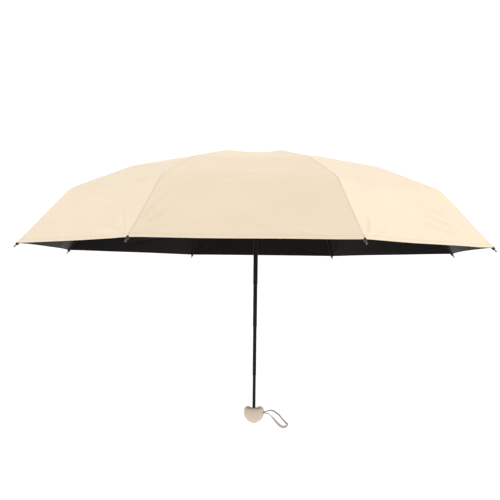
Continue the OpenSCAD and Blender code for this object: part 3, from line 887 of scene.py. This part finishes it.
def point_out(piece):
    """Turns every face of a closed piece outwards."""
    bm = bmesh.new()
    bm.from_mesh(piece.data)
    bmesh.ops.recalc_face_normals(bm, faces=bm.faces)
    bm.to_mesh(piece.data)
    bm.free()


webbing = make_webbing()
strap, strap_run, strap_length = woven_band()
point_out(strap)
fasten(strap, "handle", "wrist_strap")


# ---------------------------------------------------------------- the handle

handle_low, handle_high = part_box("handle_front")
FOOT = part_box("handle_plug")[0].z
EAR_TOP = handle_high.z
HALF_WIDTH = handle_high.x
HALF_DEPTH = -handle_low.y
CHIN_R, EAR_R = 19.3 * MM, 8.0 * MM
CHIN_Z = FOOT + 19.6 * MM
BROW_Z = EAR_TOP - 2.8 * MM


def tool(name, build):
    """A closed mesh to shape other pieces with."""
    mesh = bpy.data.meshes.new(name)
    bm = bmesh.new()
    build(bm)
    bm.to_mesh(mesh)
    bm.free()
    piece = bpy.data.objects.new(name, mesh)
    bpy.context.scene.collection.objects.link(piece)
    return piece


def ball(bm, centre, radii, segments=48):
    matrix = Matrix.Translation(centre) @ Matrix.Diagonal((*radii, 1))
    return bmesh.ops.create_uvsphere(bm, u_segments=segments, v_segments=segments // 2, radius=1.0,
                                     matrix=matrix)["verts"]


def rod(bm, low, high, radius, sides=48):
    matrix = Matrix.Translation((0, 0, (low + high) / 2))
    bmesh.ops.create_cone(bm, cap_ends=True, segments=sides, radius1=radius, radius2=radius,
                          depth=high - low, matrix=matrix)


def block(bm, low, high):
    size = Vector(high) - Vector(low)
    matrix = Matrix.Translation((Vector(low) + Vector(high)) / 2) @ Matrix.Diagonal((*size, 1))
    bmesh.ops.create_cube(bm, size=1.0, matrix=matrix)


def handle_core(bm):
    """A round chin cut flat at the brow, and two round ears."""
    ball(bm, (0, 0, CHIN_Z), (CHIN_R, HALF_DEPTH, CHIN_R), 64)
    cut = bmesh.ops.bisect_plane(bm, geom=bm.verts[:] + bm.edges[:] + bm.faces[:],
                                 plane_co=(0, 0, BROW_Z), plane_no=(0, 0, 1), clear_outer=True)
    rim = [g for g in cut["geom_cut"] if isinstance(g, bmesh.types.BMEdge)]
    bmesh.ops.contextual_create(bm, geom=rim)
    for side in (-1, 1):
        ball(bm, (side * (HALF_WIDTH - EAR_R), 0, EAR_TOP - EAR_R), (EAR_R, EAR_R * 0.98, EAR_R))


def smooth_handle():
    core = tool("handle_core", handle_core)
    remesh = core.modifiers.new("even", "REMESH")
    remesh.mode, remesh.voxel_size = "VOXEL", 0.55 * MM
    ease = core.modifiers.new("ease", "SMOOTH")
    ease.factor, ease.iterations = 0.5, 9
    form = flatten_modifiers(core, "handle_form")
    for v in form.data.vertices:          # the brow falls away to the front and back
        top = float(smooth_step((v.co.z - BROW_Z + 5 * MM) / (5 * MM)))
        v.co.z -= 1.8 * MM * top * (v.co.y / HALF_DEPTH) ** 2
    return form


def cut_away(piece, cutter):
    m = piece.modifiers.new(cutter.name, "BOOLEAN")
    m.operation, m.object, m.solver = "DIFFERENCE", cutter, "EXACT"


def copy_of(piece, name):
    twin = bpy.data.objects.new(name, piece.data.copy())
    bpy.context.scene.collection.objects.link(twin)
    return twin


def mould_handle():
    """The two moulded halves, with the holes for the shaft, the plug and the strap."""
    form = smooth_handle()
    hollow = copy_of(form, "handle_hollow")
    shrink = hollow.modifiers.new("wall", "DISPLACE")
    shrink.strength, shrink.mid_level = -2.0 * MM, 0.0
    hollow = flatten_modifiers(hollow, "handle_hollow")
    bore = tool("shaft_hole", lambda bm: rod(bm, -4 * MM, 0.04, 3.2 * MM))
    seat = tool("plug_hole", lambda bm: rod(bm, FOOT - 0.01, FOOT + 4 * MM, 6.1 * MM))
    gap = tool("strap_hole", lambda bm: block(bm, (0.010, -0.0041, 0.0024), (0.03, 0.0041, 0.0070)))
    halves = []
    for name, side in (("handle_shell_front", -1), ("handle_shell_back", 1)):
        low, high = (-0.05, -0.05, -0.05), (0.05, 0.00004, 0.05)
        if side < 0:
            low, high = (-0.05, -0.00004, -0.05), (0.05, 0.05, 0.05)
        other = tool("other_half", lambda bm: block(bm, low, high))
        half = copy_of(form, name)
        for cutter in (hollow, bore, seat, gap, other):
            cut_away(half, cutter)
        edge = half.modifiers.new("edge", "BEVEL")
        edge.width, edge.segments, edge.limit_method = 0.22 * MM, 2, "ANGLE"
        edge.angle_limit = math.radians(50)
        half = flatten_modifiers(half, name)
        bpy.data.objects.remove(other)
        half.data.materials.clear()
        half.data.materials.append(handle_shell)
        half.data.polygons.foreach_set("use_smooth", [True] * len(half.data.polygons))
        half.data.set_sharp_from_angle(angle=math.radians(35))
        halves.append(half)
    for spare in (form, hollow, bore, seat, gap):
        bpy.data.objects.remove(spare)
    return halves


def turned(name, profile, material, sides=48):
    """A closed solid of revolution about the shaft's axis, from its (radius, height) profile."""
    angles = np.linspace(0, 2 * math.pi, sides, endpoint=False)
    points, rings = [], []
    for r, z in profile:
        if r == 0:
            rings.append([len(points)] * sides)
            points.append((0, 0, z))
        else:
            rings.append(list(range(len(points), len(points) + sides)))
            points += [(r * math.cos(t), r * math.sin(t), z) for t in angles]
    faces = []
    for a, b in zip(rings, rings[1:]):
        for i in range(sides):
            j = (i + 1) % sides
            face = list(dict.fromkeys((a[i], a[j], b[j], b[i])))
            if len(face) > 2:
                faces.append(face)
    piece = add_mesh(name, points, faces, [material])
    point_out(piece)
    piece.data.set_sharp_from_angle(angle=math.radians(30))
    return piece


def chin_height(r):
    return CHIN_Z - math.sqrt(CHIN_R ** 2 - r * r)


handle_shell = make_handle_shell()
for half, node in zip(mould_handle(), ("handle_front", "handle_back")):
    fasten(half, "handle", node)
wall = 5.95 * MM
profile = [(0, FOOT + 4 * MM), (5.7 * MM, FOOT + 4 * MM), (wall, FOOT + 3.7 * MM),
           (wall, chin_height(wall) + 0.35 * MM)]
profile += [(r * MM, max(chin_height(r * MM), FOOT + 0.02 * MM)) for r in (5.6, 5.0, 4.2, 3.4, 2.8)]
plug = turned("handle_foot_plug", profile + [(2.3 * MM, FOOT), (0, FOOT)], handle_shell)
fasten(plug, "handle", "handle_plug")


# ---------------------------------------------------------------- the cloth's corner pockets

def along_line(name, start, along, profile, material, sides=20):
    """A turned piece that stands at start and points along a direction."""
    piece = turned(name, profile, material, sides)
    turn = Vector(along).to_track_quat("Z", "Y").to_matrix().to_4x4()
    piece.data.transform(Matrix.Translation(start) @ turn)
    return piece


sleeve_plastic = make_black_plastic("tip_sleeve_plastic", (0.012, 0.0115, 0.011))
SLEEVE = [(0, -4.4), (1.4, -4.4), (1.9, -4.1), (2.3, -3.3), (2.65, -2.2), (2.75, -0.8), (2.7, 0.8),
          (2.5, 1.9), (2.05, 2.7), (1.5, 3.2), (1.15, 3.5), (0, 3.5)]
for k in range(1, RIBS + 1):
    along = rib_direction(k) * TIP_ALONG[0] + np.array([0, 0, TIP_ALONG[1]])
    sleeve = along_line(f"tip_sleeve_{k}", in_rib_plane(k, *TIP_END), along,
                        [(r * MM, z * MM) for r, z in SLEEVE], sleeve_plastic)
    fasten(sleeve, f"tip_rib_{k}")


# ---------------------------------------------------------------- camera and light

ROOM, OVERHEAD = 1.12, 0.86              # the room's brightness at eye level and straight up
RIGHT_WATTS, LEFT_WATTS = 18.5, 8
FLOOR_Z, FLOOR_REACH = -0.8, 600


def aim_camera():
    """Level with the canopy's lower half, a little to the right of the front, and 1.6 m away."""
    turn, yaw, pitch, roll = (math.radians(a) for a in (2.06, -0.405, 2.09, 0.68))
    distance, height = 1.5745, 0.2589
    data = bpy.data.cameras.new("camera")
    data.sensor_width = 36
    data.lens = 813.5 / 500 * 36
    data.clip_start, data.clip_end = 0.05, 2000
    camera = bpy.data.objects.new("camera", data)
    bpy.context.scene.collection.objects.link(camera)
    stand = Matrix.Translation((distance * math.sin(turn), -distance * math.cos(turn), height))
    camera.matrix_world = stand @ Matrix.Rotation(turn - yaw, 4, "Z") \
        @ Matrix.Rotation(math.pi / 2 + pitch, 4, "X") @ Matrix.Rotation(roll, 4, "Z")
    bpy.context.scene.camera = camera


def soft_box(name, place, target, size, watts):
    data = bpy.data.lights.new(name, "AREA")
    data.shape, data.size, data.size_y = "RECTANGLE", *size
    data.energy = watts
    lamp = bpy.data.objects.new(name, data)
    bpy.context.scene.collection.objects.link(lamp)
    lamp.location = place
    lamp.rotation_euler = (Vector(target) - Vector(place)).to_track_quat("-Z", "Y").to_euler()


def light_studio():
    """A white room, a little dimmer overhead, with a soft box on each side."""
    scene = bpy.context.scene
    scene.view_settings.view_transform = "Standard"
    world = bpy.data.worlds.new("studio")
    scene.world = world
    world.use_nodes = True
    tree = world.node_tree
    sky, background = tree.nodes.new("ShaderNodeTexCoord"), tree.nodes["Background"]
    height, ramp = tree.nodes.new("ShaderNodeSeparateXYZ"), tree.nodes.new("ShaderNodeMapRange")
    tree.links.new(sky.outputs["Generated"], height.inputs[0])
    tree.links.new(height.outputs["Z"], ramp.inputs["Value"])
    for socket, value in (("From Min", 0.12), ("From Max", 1.0), ("To Min", ROOM),
                          ("To Max", OVERHEAD)):
        ramp.inputs[socket].default_value = value
    background.inputs["Color"].default_value = (1, 1, 1, 1)
    tree.links.new(ramp.outputs["Result"], background.inputs["Strength"])
    for side, watts in ((1, RIGHT_WATTS), (-1, LEFT_WATTS)):
        place = Vector((0.83 * side, 0.25, 0.5)).normalized() * 2.6 + Vector((0, 0, 0.4))
        name = "right_box" if side > 0 else "left_box"
        soft_box(name, place, (0, 0, 0.4), (1.4, 1.4), watts)
    corners = [(x * FLOOR_REACH, y * FLOOR_REACH, FLOOR_Z)
               for x, y in ((-1, -1), (1, -1), (1, 1), (-1, 1))]
    add_mesh("floor", corners, [(0, 1, 2, 3)], [floor_finish()])


def floor_finish():
    """A pale floor that is clear from underneath, so that the canopy's inside can be seen."""
    f = Finish("studio_floor", (0.9, 0.9, 0.9), 0.9, Specular_IOR_Level=0.0,
               Emission_Color=(1, 1, 1, 1), Emission_Strength=0.28)
    cloud = f.noise(f.place(), 1.5, 2.0)
    f.vary("Base Color", f.blend(cloud, (0.91, 0.91, 0.905), (0.895, 0.895, 0.89)))
    under = f.node("ShaderNodeNewGeometry").outputs["Backfacing"]
    clear = f.node("ShaderNodeBsdfTransparent").outputs["BSDF"]
    mix = f.node("ShaderNodeMixShader", {0: under, 1: f.shader.outputs["BSDF"], 2: clear})
    f.tree.links.new(mix.outputs[0], f.tree.nodes["Material Output"].inputs["Surface"])
    return f.material


aim_camera()
light_studio()

# ---------------------------------------------------------------- the frame's own finishes

black_tube, rib_metal, bare_steel = make_black_tube(), make_rib_metal(), make_bare_steel()
black_plastic = make_black_plastic()


def finish_of(node):
    if node.endswith("_tube"):
        return black_tube
    if "_rib_" in node or node.startswith("stretcher_"):
        return rib_metal
    if node in ("handle_front", "handle_back", "handle_plug"):
        return handle_shell
    if node in ("handle_pin", "strap_clip", "crown_wire", "runner_wire", "runner_catch"):
        return bare_steel
    return black_plastic


for node, piece in nodes.items():
    piece.data.materials.clear()
    piece.data.materials.append(finish_of(node))
    for polygon in piece.data.polygons:
        polygon.material_index = 0
